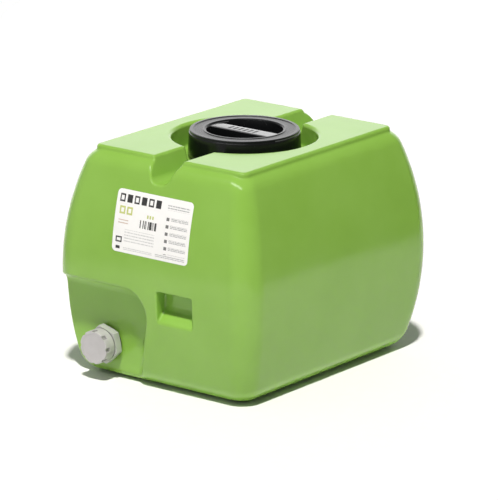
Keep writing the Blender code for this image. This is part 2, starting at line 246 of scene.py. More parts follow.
def spin(name, corners, steps, closed=False, radiusAt=None):
    # the ends of an open profile lie on the axis, and a closed one makes a ring
    maker = bmesh.new()
    rings = []
    for point in roundedLine(corners, closed):
        if point.x < 1e-7:
            rings.append([maker.verts.new((0.0, 0.0, point.y))])
            continue
        ring = []
        for step in range(steps):
            angle = 2 * math.pi * step / steps
            radius = radiusAt(point.x, angle, point.y) if radiusAt else point.x
            ring.append(maker.verts.new((radius * math.cos(angle), radius * math.sin(angle), point.y)))
        rings.append(ring)
    pairs = list(zip(rings, rings[1:]))
    if closed:
        pairs.append((rings[-1], rings[0]))
    for upper, lower in pairs:
        for i in range(steps):
            j = (i + 1) % steps
            if len(upper) == 1:
                maker.faces.new((upper[0], lower[i], lower[j]))
            elif len(lower) == 1:
                maker.faces.new((upper[i], lower[0], upper[j]))
            else:
                maker.faces.new((upper[i], lower[i], lower[j], upper[j]))
    bmesh.ops.recalc_face_normals(maker, faces=maker.faces)
    return fromMaker(name, maker)


def fromMaker(name, maker):
    mesh = bpy.data.meshes.new(name)
    maker.to_mesh(mesh)
    maker.free()
    mesh.shade_smooth()
    mesh.set_sharp_from_angle(angle=sharpAngle)
    return newObject(name, mesh)


def prism(name, outline, low, high):
    maker = bmesh.new()
    bottom = [maker.verts.new((x, y, low)) for x, y in outline]
    top = [maker.verts.new((x, y, high)) for x, y in outline]
    maker.faces.new(list(reversed(bottom)))
    maker.faces.new(top)
    for i in range(len(outline)):
        j = (i + 1) % len(outline)
        maker.faces.new((bottom[i], bottom[j], top[j], top[i]))
    return fromMaker(name, maker)


def soften(obj, width, segments):
    bevel = obj.modifiers.new("soft edges", "BEVEL")
    bevel.width = width
    bevel.segments = segments
    bevel.angle_limit = softAngle


def join(obj, tool, operation):
    step = obj.modifiers.new(operation.lower(), "BOOLEAN")
    step.operation = operation
    step.object = tool
    step.solver = "EXACT"


def applied(obj, *tools):
    # the object with its modifiers worked into its mesh, and the tools they used removed
    name = obj.name
    obj.name = name + "_raw"
    made = plainMesh(obj, name)
    for tool in tools:
        bpy.data.objects.remove(tool, do_unlink=True)
    made.data.shade_smooth()
    made.data.set_sharp_from_angle(angle=sharpAngle)
    return made


def layOut(obj):
    # a piece made about +Z goes on the drain's axis, with its +Z pointing out along -Y
    for vertex in obj.data.vertices:
        x, y, z = vertex.co
        vertex.co = (drainX + x, -z, drainZ + y)
    obj.data.update()
    return obj


def wear(obj, material, body, *replaced, slot=None):
    # gives a finished piece its material and the body it moves with
    obj.data.materials.clear()
    obj.data.materials.append(material)
    if replaced:
        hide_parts(*replaced)
    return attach(obj, body)


# moulded threads, each a ridge with the same proportions
threadShape = {"steps a turn": 72, "taper": 8.0, "sunk": 1.3, "crest fillet": 0.3, "thinnest": 0.2}


def makeThreadTree():
    # one ridge swept along a helix, thinning out at both ends
    sizes = ("Radius", "Start", "Pitch", "Turns", "Proud", "Root", "Crest", "Inward")
    inputs = {"Geometry": "geometry", **dict.fromkeys(sizes, "size"), "Material": "material"}
    tree, start = newTree("thread", inputs, {"Geometry": "geometry"})
    size = {name: start.other(name) for name in sizes}
    helix = start.node("GeometryNodeCurveSpiral", None, {
        "Resolution": threadShape["steps a turn"], "Rotations": size["Turns"], 
        "Start Radius": size["Radius"], "End Radius": size["Radius"],
        "Height": size["Pitch"] * size["Turns"]})
    upright = helix.node("GeometryNodeSetCurveNormal", {"mode": "Z_UP"}, {0: helix})
    along = start.node("GeometryNodeSplineParameter") * size["Turns"]
    taper = threadShape["taper"]
    ends = lowest(along * taper, (size["Turns"] - along) * taper, 1.0)
    depth = size["Proud"] * threadShape["sunk"]
    section = start.node("GeometryNodeCurvePrimitiveQuadrilateral", {"mode": "TRAPEZOID"}, {
        "Height": depth, "Bottom Width": size["Root"], "Top Width": size["Crest"], "Offset": 0.0})
    rounded = section.node("GeometryNodeFilletCurve", {"mode": "POLY"}, {
        0: section, "Count": 2, "Radius": size["Crest"] * threadShape["crest fillet"]})
    outwards = 1.0 - size["Inward"] * 2.0
    middle = size["Proud"] - depth * 0.5
    shift = start.node("ShaderNodeCombineXYZ", None, {0: 0.0, 1: middle, 2: 0.0})
    moved = rounded.node("GeometryNodeTransform", None, {0: rounded, "Translation": shift})
    turn = start.node("ShaderNodeCombineXYZ", None, {0: 0.0, 1: 0.0, 2: outwards * (math.pi / 2)})
    turned = moved.node("GeometryNodeTransform", None, {0: moved, "Rotation": turn})
    thickness = highest((ends * (2.0 - ends)).root(), threadShape["thinnest"])
    ridge = upright.node("GeometryNodeCurveToMesh", None, {
        0: upright, 1: turned, "Scale": thickness, "Fill Caps": True})
    lift = start.node("ShaderNodeCombineXYZ", None, {0: 0.0, 1: 0.0, 2: size["Start"]})
    raised = ridge.node("GeometryNodeTransform", None, {0: ridge, "Translation": lift})
    smooth = raised.node("GeometryNodeSetShadeSmooth", None, {0: raised})
    finishTree(smooth, start.other("Material"))
    return tree


threadTree = makeThreadTree()


def makeThread(name, radius, start, values, turns, inward, material):
    raw = newObject(name + "_raw", bpy.data.meshes.new(name))
    addTree(raw, threadTree, {
        "Radius": radius, "Start": start, "Pitch": values["pitch"], "Turns": turns,
        "Proud": values["proud"], "Root": values["root"], "Crest": values["crest"],
        "Inward": 1.0 if inward else 0.0, "Material": material})
    return plainMesh(raw, name)


# the tank's shell, as one field of distance from its surface
shellLow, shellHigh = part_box("tank_shell")
capLow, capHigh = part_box("fill_cap")
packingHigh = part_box("drain_socket_packing")[1]
drainLow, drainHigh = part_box("drain_cap")
touching = 0.0003                      # gap between pieces that touch, as the frame has it
capStand = 0.010
padTop = capHigh.z - capStand
drainX = (drainLow.x + drainHigh.x) / 2
drainZ = (drainLow.z + drainHigh.z) / 2

tank = {
    "half width": shellHigh.x,
    "half length": shellHigh.y,
    "widest height": 0.166,
    "shoulder inset": 0.0251,
    "base fillet": 0.041,
    "shoulder fillet": 0.035,
    "shoulder height": padTop - 0.0035,
    "corner radius": 0.0395,
    "corner taper": 0.35,
    "wall": 0.004,
    "pad top": padTop,
    "pad half width": shellHigh.x - 0.045,
    "pad half length": shellHigh.y - 0.049,
    "pad corner": 0.012,
    "pad edge": 0.0052,
    "pad crease": 0.0022,
    "channel floor": padTop - 0.0365,
    "channel half floor": 0.0145,
    "channel lean": math.atan2(0.0135, 0.0365),
    "channel inner fillet": 0.009,
    "channel edge": 0.0035,
    "well floor": padTop - 0.0382,
    "well radius": capHigh.x + 0.025,
    "well inner fillet": 0.006,
    "well edge": 0.006,
    "recess back": packingHigh.y + touching,
    "recess top": 0.159,
    "recess arch": 0.044,
    "recess arch x": drainX + 0.055,
    "recess lean": math.radians(11.0),
    "recess draft": math.radians(20.0),
    "recess inner fillet": 0.010,
    "recess edge": 0.0035,
    "pocket x": 0.0485,
    "pocket half width": 0.034,
    "pocket top": 0.164,
    "pocket bottom": 0.112,
    "pocket depth": 0.022,
    "pocket inner fillet": 0.0035,
    "pocket edge": 0.0028,
    "neck hole": 0.0775,
    "drain x": drainX,
    "drain z": drainZ,
    "drain hole": 0.0208,
}
shellMesh = {
    "cell": 0.0018, "triangles": 186000, "margin": 0.006, "sample": 0.0002, "rounds": 2, "least slope": 0.3}


def bodyField(x, y, z, size):
    # u is how far out of the widest outline a point lies, in plan, and the wall's profile is in u and z
    # at a corner, whose radius shrinks as the wall leans in, u solves p * u * u - 2 * q * u + r = 0
    widest = size["widest height"]
    keep = 1 - size["corner taper"]
    a = abs(x) - (size["half width"] - size["corner radius"])
    b = abs(y) - (size["half length"] - size["corner radius"])
    flat = highest(a, b) - size["corner radius"]
    p = 2 * keep * keep - size["corner taper"] * size["corner taper"]
    q = keep * (a + b) + size["corner taper"] * size["corner radius"]
    r = a * a + b * b - size["corner radius"] * size["corner radius"]
    rounded = (q - (q * q - p * r).root()) / p
    u = choose(lowest(a, b) > keep * flat, rounded, flat)

    inset, base, top = size["shoulder inset"], size["base fillet"], size["shoulder fillet"]
    topZ = size["shoulder height"] - top
    rise = topZ - widest
    radius = (rise * rise + inset * inset) / (2 * inset)
    baseX = ((radius - base) * (radius - base) - (widest - base) * (widest - base)).root() - radius
    topX = ((radius - top) * (radius - top) - rise * rise).root() - radius
    side = length2(u + radius, z - widest) - radius
    low = choose(u > baseX, length2(u - baseX, z - base), base - z) - base
    high = choose(u > topX, length2(u - topX, z - topZ), z - topZ) - top
    underLine = ((u - baseX) * (base - widest) - (z - base) * (baseX + radius)) > 0.0
    overLine = ((u - topX) * rise - (z - topZ) * (topX + radius)) < 0.0
    return choose(underLine, low, choose(overLine, high, side))


def padField(x, y, z, size):
    a = abs(x) - (size["pad half width"] - size["pad corner"])
    b = abs(y) - (size["pad half length"] - size["pad corner"])
    plan = length2(highest(a, 0.0), highest(b, 0.0)) + lowest(highest(a, b), 0.0) - size["pad corner"]
    pads = carve(plan, z - size["pad top"], size["pad edge"])
    return highest(pads, size["widest height"] - z)


def channelField(x, z, size):
    cosine, sine = size["channel lean"].math("COSINE"), size["channel lean"].math("SINE")
    side = (abs(x) - size["channel half floor"]) * cosine - (z - size["channel floor"]) * sine
    return carve(side, size["channel floor"] - z, size["channel inner fillet"])


def wellField(x, y, z, size):
    return carve(length2(x, y) - size["well radius"], size["well floor"] - z, size["well inner fillet"])


def recessField(x, y, z, size):
    cosine, sine = size["recess lean"].math("COSINE"), size["recess lean"].math("SINE")
    a = x - size["recess arch x"]
    b = z - (size["recess top"] - size["recess arch"])
    side = a * cosine - b * sine
    inArch = lowest(a, b * cosine + a * sine) > 0.0
    outline = choose(inArch, length2(a, b), highest(side, b)) - size["recess arch"]
    draftCosine, draftSine = size["recess draft"].math("COSINE"), size["recess draft"].math("SINE")
    drafted = draftCosine * outline + draftSine * (y + size["half length"])
    return carve(drafted, y - size["recess back"], size["recess inner fillet"])


def pocketField(x, depth, z, size):
    # depth is how far inside the widest line of the end wall a point lies
    fillet = size["pocket inner fillet"]
    sides = carve(abs(x) - size["pocket half width"], z - size["pocket top"], fillet)
    floor = (size["pocket bottom"] + depth - z) * math.sqrt(0.5)
    return carve(carve(sides, floor, fillet), depth - size["pocket depth"], fillet)


def makeFieldTree():
    inputs = {"Point": "vector", **dict.fromkeys(tank, "size")}
    tree, start = newTree("tankField", inputs, {"Distance": "size"})
    size = {name: start.other(name) for name in tank}
    point = start.node("ShaderNodeSeparateXYZ", None, {0: start})
    x, y, z = point, point.other(1), point.other(2)
    solid = blend(bodyField(x, y, z, size), padField(x, y, z, size), size["pad crease"])
    solid = cut(solid, channelField(x, z, size), size["channel edge"])
    solid = cut(solid, wellField(x, y, z, size), size["well edge"])
    solid = cut(solid, recessField(x, y, z, size), size["recess edge"])
    front = pocketField(x - size["pocket x"], y + size["half length"], z, size)
    rear = pocketField(x, size["half length"] - y, z, size)
    solid = cut(cut(solid, front, size["pocket edge"]), rear, size["pocket edge"])
    shell = highest(solid, -(solid + size["wall"]))
    neckHole = highest(length2(x, y) - size["neck hole"], size["widest height"] - z)
    drainHole = highest(length2(x - size["drain x"], z - size["drain z"]) - size["drain hole"], y)
    endTree(highest(shell, -neckHole, -drainHole))
    return tree


def fieldAt(start, fieldTree, point):
    values = {"Point": point, **{name: start.other(name) for name in tank}}
    return start.node("GeometryNodeGroup", {"node_tree": fieldTree}, values)


def slopeOf(start, fieldTree):
    # the field's slope and height at the point, from four samples round it
    here = start.node("GeometryNodeInputPosition")
    small = shellMesh["sample"]
    corners = ((1, -1, -1), (-1, -1, 1), (-1, 1, -1), (1, 1, 1))
    share = 1 / len(corners)
    slope, total = None, None
    for corner in corners:
        offset = tuple(small * c for c in corner)
        value = fieldAt(start, fieldTree, here.vector("ADD", offset))
        part = here.node("ShaderNodeVectorMath", {"operation": "SCALE"}, {0: corner, "Scale": value})
        slope = part if slope is None else slope.vector("ADD", part)
        total = value if total is None else total + value
    slope = slope.node("ShaderNodeVectorMath", {"operation": "SCALE"}, {0: slope, "Scale": share / small})
    return slope, total * share


def settle(geometry, start, fieldTree):
    # moves each point down the field's slope until it lies on the surface
    slope, height = slopeOf(start, fieldTree)
    steepness = slope.vector("DOT_PRODUCT", slope, out=1)
    share = height / highest(steepness, shellMesh["least slope"]) * -1.0
    move = slope.node("ShaderNodeVectorMath", {"operation": "SCALE"}, {0: slope, "Scale": share})
    for _ in range(shellMesh["rounds"]):
        geometry = geometry.node("GeometryNodeSetPosition", None, {0: geometry, "Offset": move})
    return geometry, slope


def makeShellTree(fieldTree, low, high):
    inputs = {"Geometry": "geometry", **dict.fromkeys(tank, "size"), "Cell": "size", "Material": "material"}
    tree, start = newTree("tankShell", inputs, {"Geometry": "geometry"})
    density = -fieldAt(start, fieldTree, start.node("GeometryNodeInputPosition"))
    counts = [math.ceil((high[i] - low[i]) / shellMesh["cell"]) for i in range(3)]
    values = {"Density": density, "Background": -1.0, "Min": low, "Max": high}
    values.update({"Resolution " + axis: count for axis, count in zip("XYZ", counts)})
    volume = start.node("GeometryNodeVolumeCube", None, values)
    mesh = start.node("GeometryNodeVolumeToMesh", {"resolution_mode": "GRID"}, {
        0: volume, "Threshold": 0.0})
    mesh, _ = settle(mesh, start, fieldTree)
    finishTree(mesh, start.other("Material"))
    return tree


def makeSettleTree(fieldTree):
    inputs = {"Geometry": "geometry", **dict.fromkeys(tank, "size"), "Material": "material"}
    tree, start = newTree("tankSettle", inputs, {"Geometry": "geometry"})
    mesh, slope = settle(start, start, fieldTree)
    smooth = mesh.node("GeometryNodeSetShadeSmooth", None, {0: mesh})
    normal = slope.vector("NORMALIZE")
    shaded = smooth.node("GeometryNodeSetMeshNormal", {"mode": "FREE", "domain": "POINT"}, {
        0: smooth, "Custom Normal": normal})
    finishTree(shaded, start.other("Material"))
    return tree


def makeShell(material):
    fieldTree = makeFieldTree()
    margin = shellMesh["margin"]
    low = tuple(v - margin for v in shellLow)
    high = (shellHigh.x + margin, shellHigh.y + margin, padTop + margin)
    raw = newObject("shell", bpy.data.meshes.new("shell"))
    addTree(raw, makeShellTree(fieldTree, low, high), {**tank, "Material": material})
    dense = plainMesh(raw, "shell")
    count = triangleCount(dense.data)
    print("shell: %d triangles before thinning" % count)
    thin = dense.modifiers.new("thin", "DECIMATE")
    thin.ratio = min(1.0, shellMesh["triangles"] / count)
    thin.use_collapse_triangulate = True
    addTree(dense, makeSettleTree(fieldTree), {**tank, "Material": material})
    shell = plainMesh(dense, "tank_body")
    print("shell: %d triangles" % triangleCount(shell.data))
    return shell


# the neck, moulded with the shell, and the filler thread
neck = {
    "radius": 0.0795, "wall": 0.004, "top": shellHigh.z, "collar": 0.0915, "collar height": 0.005,
    "foot reach": 0.003, "foot drop": 0.0015, "sunk": 0.0006, "steps": 192}
fillThread = {
    "pitch": 0.010, "proud": 0.003, "root": 0.0034, "crest": 0.0018, "neck turns": 2.2, "cap turns": 0.9,
    "drop": 0.0034}


def makeNeck(material):
    floor = tank["well floor"]
    sunk = floor - tank["wall"] - neck["sunk"]
    collarTop = floor + neck["collar height"]
    inner = neck["radius"] - neck["wall"]
    corners = [
        (inner, neck["top"], 0.0012), (neck["radius"], neck["top"], 0.0012),
        (neck["radius"], collarTop, 0.0015), (neck["collar"], collarTop, 0.0014),
        (neck["collar"], floor, 0.0010),
        (neck["collar"] + neck["foot reach"], floor - neck["foot drop"], 0.0),
        (neck["radius"], sunk, 0.0), (inner, sunk, 0.0015)]
    made = spin("tank_neck", corners, neck["steps"], closed=True)
    return wear(made, material, "tank", slot="green_polyethylene")


def neckThreadStart():
    return neck["top"] - fillThread["drop"] - fillThread["pitch"] * fillThread["neck turns"]


def makeNeckThread(material):
    turns = fillThread["neck turns"]
    made = makeThread("neck_thread", neck["radius"], neckThreadStart(), fillThread, turns, False, material)
    return wear(made, material, "tank", slot="green_polyethylene")


# the filler cap, with a ring channel in its rim and a grip bar across its hollow
cap = {
    "top": capHigh.z, "foot": capLow.z, "radius": capHigh.x, "rim": capHigh.x - 0.0030,
    "shoulder": capHigh.x - 0.0018, "deck": 0.004, "inner": capHigh.x - 0.004, "wall": 0.004,
    "recess": 0.0596, "recess depth": 0.020, "recess draft": 0.0012, "ledge": 0.0014, "ledge slope": 0.0004,
    "inner bead": 0.0050, "outer bead": 0.0056, "channel depth": 0.0009, "channel slope": 0.0006,
    "rim lean": 0.0002, "bar width": 0.027, "bar drop": 0.0025, "bar draft": 0.001, "bar fillet": 0.0016,
    "bar sunk": 0.001, "bar overlap": 0.002, "bar steps": 4, "steps": 192}


def makeCap(material):
    top, foot, deck = cap["top"], cap["foot"], cap["top"] - cap["deck"]
    floor, under = top - cap["recess depth"], top - cap["recess depth"] - cap["wall"]
    recess, rim = cap["recess"], cap["rim"]
    ledge, channel, slope = cap["ledge"], top - cap["channel depth"], cap["channel slope"]
    corners = [
        (0.0, floor, 0.0), (recess - cap["recess draft"], floor, 0.003), (recess, top - ledge, 0.0006),
        (recess + ledge, top - ledge, 0.0004), (recess + ledge + cap["ledge slope"], top, 0.0005),
        (recess + cap["inner bead"], top, 0.0005), (recess + cap["inner bead"] + slope, channel, 0.0005),
        (rim - cap["outer bead"] - slope, channel, 0.0005), (rim - cap["outer bead"], top, 0.0005),
        (rim - cap["rim lean"], top, 0.0012), (rim, deck, 0.0006), (cap["shoulder"], deck, 0.0010),
        (cap["radius"], foot, 0.0008), (cap["inner"], foot, 0.0008), (cap["inner"], deck, 0.0012),
        (recess + cap["wall"], deck, 0.0012), (recess + cap["wall"], under, 0.003), (0.0, under, 0.0)]
    body = spin("fill_cap_body", corners, cap["steps"])
    half, barTop = cap["bar width"] / 2, top - cap["bar drop"]
    fillet = cap["bar fillet"]
    reach = half - cap["bar draft"] - fillet
    steps = cap["bar steps"]
    turns = [math.radians(90.0 * step / steps) for step in range(steps + 1)]
    right = [(reach + fillet * math.cos(turn), barTop - fillet + fillet * math.sin(turn)) for turn in turns]
    left = [(-a, b) for a, b in reversed(right)]
    barFoot, length = floor - cap["bar sunk"], recess + cap["bar overlap"]
    bar = prism("bar", [(-half, barFoot), (half, barFoot)] + right + left, -length, length)
    for vertex in bar.data.vertices:
        a, b, c = vertex.co
        vertex.co = (c, a, b)
    join(body, bar, "UNION")
    made = applied(body, bar)
    return wear(made, material, "filler_cap", "fill_cap", slot="black_cap")


def makeCapThread(material):
    start = neckThreadStart() - fillThread["pitch"] / 2
    while start < cap["foot"] + fillThread["root"] / 2 + touching:
        start += fillThread["pitch"]
    turns = fillThread["cap turns"]
    made = makeThread("fill_cap_thread", cap["inner"], start, fillThread, turns, True, material)
    return wear(made, material, "filler_cap", slot="black_cap")


# the drain: a spout through the recess's back, its hexagon and its notched cap
drain = {
    "shank": 0.0205, "spigot": 0.0155, "bore": 0.0125, "spigot length": 0.0145, "spigot sunk": 0.001,
    "packing": 0.0024, "steps": 96, "hexagon": 0.0265, "hexagon length": 0.014,
    "hexagon turn": math.radians(-17.0), "hexagon slope": 0.0016, "hexagon edge": 0.0006,
    "cone inset": 0.0002, "cone reach": 0.0004, "hole gap": 0.0015, "hole steps": 64, "past": 0.01,
    "cap radius": (drainHigh.x - drainLow.x) / 2, "cap inner": 0.0171, "cap face": 0.0035, "cap steps": 384,
    "face ring": 0.0048, "face step": 0.0004, "notches": 8, "notch radius": 0.0045, "notch depth": 0.0021,
    "notch length": 0.008, "notch zone": 0.0035, "notch end": 0.0006}
drainThread = {
    "pitch": 0.004, "proud": 0.0012, "root": 0.0014, "crest": 0.0007, "turns": 2.8, "cap turns": 1.5,
    "drop": 0.0015}
# distances out along the drain's axis, from the frame's origin
hexBack = -packingHigh.y + touching + drain["packing"]
hexFront = hexBack + drain["hexagon length"]
spigotEnd = hexFront + drain["spigot length"]
capEnd = -drainLow.y
capBack = -drainHigh.y
shankEnd = -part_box("drain_socket")[1].y


def makeSpout(material):
    bore, spigot, shank = drain["bore"], drain["spigot"], drain["shank"]
    foot = hexFront - drain["spigot sunk"]
    corners = [
        (bore, spigotEnd, 0.0006), (spigot, spigotEnd, 0.0006), (spigot, foot, 0.0006),
        (shank, foot, 0.0), (shank, shankEnd, 0.0006), (bore, shankEnd, 0.0006)]
    made = layOut(spin("drain_spout", corners, drain["steps"], closed=True))
    return wear(made, material, "tank", "drain_socket", slot="grey_socket")


def makeHexagon(material):
    # the hexagon's corners are turned off to a cone at both faces
    half = drain["hexagon"]
    corner = half / math.cos(math.pi / 6)
    turns = [drain["hexagon turn"] + i * math.pi / 3 for i in range(6)]
    outline = [(corner * math.cos(turn), corner * math.sin(turn)) for turn in turns]
    block = prism("drain_hexagon", outline, hexBack, hexFront)
    face, widest, slope = half - drain["cone inset"], corner + drain["cone reach"], drain["hexagon slope"]
    cone = spin("cone", [
        (0.0, hexFront, 0.0), (face, hexFront, 0.0), (widest, hexFront - slope, 0.0),
        (widest, hexBack + slope, 0.0), (face, hexBack, 0.0), (0.0, hexBack, 0.0)], drain["steps"])
    bore, front, back = drain["bore"] + drain["hole gap"], hexFront + drain["past"], hexBack - drain["past"]
    outline = [(0.0, front, 0.0), (bore, front, 0.0), (bore, back, 0.0), (0.0, back, 0.0)]
    hole = spin("hole", outline, drain["hole steps"])
    join(block, cone, "INTERSECT")
    join(block, hole, "DIFFERENCE")
    soften(block, drain["hexagon edge"], 2)
    made = layOut(applied(block, cone, hole))
    return wear(made, material, "tank", slot="grey_socket")


def makeSpoutThread(material):
    turns = drainThread["turns"]
    start = spigotEnd - drainThread["drop"] - drainThread["pitch"] * turns
    made = makeThread("drain_spout_thread", drain["spigot"], start, drainThread, turns, False, material)
    return wear(layOut(made), material, "tank", slot="grey_socket")


def notched(radius, angle, height):
    # the cap's rim is scooped out round each notch's own axis
    notchEnd = capEnd - drain["notch length"] - drain["notch end"] / 2
    if radius < drain["cap radius"] - drain["notch zone"] or height < notchEnd:
        return radius
    pitch = 2 * math.pi / drain["notches"]
    centre = drain["cap radius"] + drain["notch radius"] - drain["notch depth"]
    off = abs((angle / pitch - 0.5) % 1.0 - 0.5) * pitch
    across = centre * math.sin(off)
    if across >= drain["notch radius"]:
        return radius
    return min(radius, centre * math.cos(off) - math.sqrt(drain["notch radius"] ** 2 - across ** 2))


def makeDrainCap(material):
    radius, inner = drain["cap radius"], drain["cap inner"]
    dish, dishEdge = capEnd - drain["face step"], radius - drain["face ring"]
    notchEnd, inside = capEnd - drain["notch length"], capEnd - drain["cap face"]
    corners = [
        (0.0, dish, 0.0), (dishEdge - drain["face step"], dish, 0.0004), (dishEdge, capEnd, 0.0004),
        (radius, capEnd, 0.0013), (radius, notchEnd, 0.0), (radius, notchEnd - drain["notch end"], 0.0),
        (radius, capBack, 0.0007), (inner, capBack, 0.0005), (inner, inside, 0.0006), (0.0, inside, 0.0)]
    made = layOut(spin("drain_cap_body", corners, drain["cap steps"], radiusAt=notched))
    return wear(made, material, "drain_closure", "drain_cap", slot="grey_cap")


def makeDrainCapThread(material):
    # half a pitch off the spout's ridge, so that the two run side by side
    start = spigotEnd - drainThread["drop"] - drainThread["pitch"] * (drainThread["turns"] - 0.5)
    turns = drainThread["cap turns"]
    made = makeThread("drain_cap_thread", drain["cap inner"], start, drainThread, turns, True, material)
    return wear(layOut(made), material, "drain_closure", slot="grey_cap")


# the label, a printed film that follows the bulge of the end wall
labelLow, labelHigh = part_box("label")
label = {"corner": 0.007, "thickness": 0.0002, "gap": 0.0002, "columns": 40, "rows": 30, "corner steps": 8}


def wallPoint(height, out):
    # how far back and how high a point lies that stands out from the wall's bulge
    inset = tank["shoulder inset"]
    rise = tank["shoulder height"] - tank["shoulder fillet"] - tank["widest height"]
    radius = (rise ** 2 + inset ** 2) / (2 * inset)
    slope = math.asin((height - tank["widest height"]) / radius)
    reach = (radius + out) * math.cos(slope) - radius
    return -(tank["half length"] + reach), tank["widest height"] + (radius + out) * math.sin(slope)


def makeLabel(material):
    halfX = (labelHigh.x - labelLow.x) / 2
    middle, halfZ = (labelLow.z + labelHigh.z) / 2, (labelHigh.z - labelLow.z) / 2
    corner, steps, columns = label["corner"], label["corner steps"], label["columns"]
    rounding = [-halfX + corner * (1 - math.cos(math.pi / 2 * i / steps)) for i in range(steps + 1)]
    straight = [-halfX + corner + (2 * halfX - 2 * corner) * i / columns for i in range(1, columns)]
    across = rounding + straight + [-x for x in reversed(rounding)]
    maker = bmesh.new()
    rings = []
    for x in across:
        over = max(abs(x) - (halfX - corner), 0.0)
        tall = halfZ - corner + math.sqrt(max(corner ** 2 - over ** 2, 0.0))
        ring = []
        for out in (label["gap"], label["gap"] + label["thickness"]):
            line = []
            for row in range(label["rows"] + 1):
                y, z = wallPoint(middle - tall + 2 * tall * row / label["rows"], out)
                line.append(maker.verts.new((x, y, z)))
            ring += line if out == label["gap"] else list(reversed(line))
        rings.append(ring)
    count = len(rings[0])
    for left, right in zip(rings, rings[1:]):
        for i in range(count):
            j = (i + 1) % count
            maker.faces.new((left[i], right[i], right[j], left[j]))
    maker.faces.new(rings[0])
    maker.faces.new(list(reversed(rings[-1])))
    bmesh.ops.recalc_face_normals(maker, faces=maker.faces)
    made = fromMaker("label_film", maker)
    return wear(made, material, "tank", "label", slot="label_film")


# materials, on Object coordinates
def newMaterial(name):
    material = bpy.data.materials.new(name)
    material.use_nodes = True
    material.node_tree.nodes.clear()
    return material, Link(material.node_tree)


def place(start, scale=(1.0, 1.0, 1.0)):
    coordinates = start.node("ShaderNodeTexCoord", out="Object")
    return start.node("ShaderNodeMapping", None, {0: coordinates, "Scale": scale})


def position(start):
    # x, and with other(1) and other(2) also y and z
    return start.node("ShaderNodeSeparateXYZ", None, {0: start.node("ShaderNodeTexCoord", out="Object")})


def noise(start, where, scale, detail=3.0, roughness=0.5):
    return start.node("ShaderNodeTexNoise", None, {
        "Vector": where, "Scale": scale, "Detail": detail, "Roughness": roughness})


def mixColours(mask, no, yes):
    return mask.node("ShaderNodeMix", {"data_type": "RGBA"}, {0: mask, 6: no, 7: yes}, out=2)


def ramp(value, low, high):
    # 0 below low and 1 above high
    return value.node("ShaderNodeMapRange", {"clamp": True}, {0: value, 1: low, 2: high, 3: 0.0, 4: 1.0})


def bump(height, distance, normal=None):
    values = {"Height": height, "Distance": distance, "Strength": 1.0}
    if normal:
        values["Normal"] = normal
    return height.node("ShaderNodeBump", None, values)


def within(a, low, high):
    return (a > low) * (a < high)


def repeated(a, start, pitch, share):
    # 1 on the first share of each step along a
    return ((a - start) / pitch).math("FRACT") < share


def shade(start, material, links, fixed):
    # links change over the surface, fixed values are the same all over
    shader = start.node("ShaderNodeBsdfPrincipled", None, {**fixed, **links})
    out = start.tree.nodes.new("ShaderNodeOutputMaterial")
    start.tree.links.new(shader.socket, out.inputs[0])
    return material


greenLook = {
    "colour": (0.246, 0.468, 0.070, 1.0), "deep": (0.237, 0.456, 0.064, 1.0),
    "pale": (0.256, 0.482, 0.077, 1.0), "cloud scale": 9.0, "cloud edge": (0.35, 0.65),
    "fleck scale": 420.0, "fleck edge": (0.45, 0.75), "fleck share": 0.25,
    "peel scale": 330.0, "peel height": 0.00006, "wave scale": 14.0, "wave height": 0.0006,
    "scuff scale": 60.0, "scuff stretch": (1.0, 1.0, 9.0), "scuff edge": (0.62, 0.78), "scuff rough": 0.06,
    "roughness": 0.17, "spread": 0.05}


def makeGreen():
    look = greenLook
    material, start = newMaterial("green_polyethylene")
    where = place(start)
    cloud = noise(start, where, look["cloud scale"])
    fleck = noise(start, where, look["fleck scale"], 2.0)
    peel = noise(start, where, look["peel scale"], 2.0)
    wave = noise(start, where, look["wave scale"], 1.0)
    scuff = noise(start, place(start, look["scuff stretch"]), look["scuff scale"], 5.0, 0.65)
    colour = mixColours(ramp(cloud, *look["cloud edge"]), look["deep"], look["pale"])
    colour = mixColours(ramp(fleck, *look["fleck edge"]) * look["fleck share"], colour, look["colour"])
    roughness = look["roughness"] + (peel - 0.5) * look["spread"]
    roughness = roughness + ramp(scuff, *look["scuff edge"]) * look["scuff rough"]
    looks = {
        "Base Color": colour, "Roughness": roughness,
        "Normal": bump(peel, look["peel height"], bump(wave, look["wave height"]))}
    return shade(start, material, looks, {"IOR": 1.5})


# the lighter grey on the grip bar's top, with its share, band and coat, is a painted sheen
blackLook = {
    "colour": (0.006, 0.0065, 0.007, 1.0), "scuffed": (0.030, 0.031, 0.033, 1.0),
    "painted_sheen": (0.150, 0.152, 0.155, 1.0), "painted_sheen share": 0.5, "painted_sheen coat": 0.75,
    "painted_sheen band": (-0.0012, 0.0004), "grain scale": 900.0, "grain height": 0.00002,
    "mottle edge": (0.58, 0.80), "mottle share": 0.5,
    "scuff scale": 70.0, "scuff stretch": (1.0, 6.0, 1.0), "scuff edge": (0.55, 0.75), "scuff rough": 0.10,
    "channel band": (-0.0012, -0.0005), "channel rough": 0.06, "roughness": 0.22, "spread": 0.08,
    "rib pitch": 0.0095, "rib share": 0.5, "rib height": 0.0006, "rib rough": 0.2,
    "ribs half length": 0.0285, "ribs half width": 0.007}


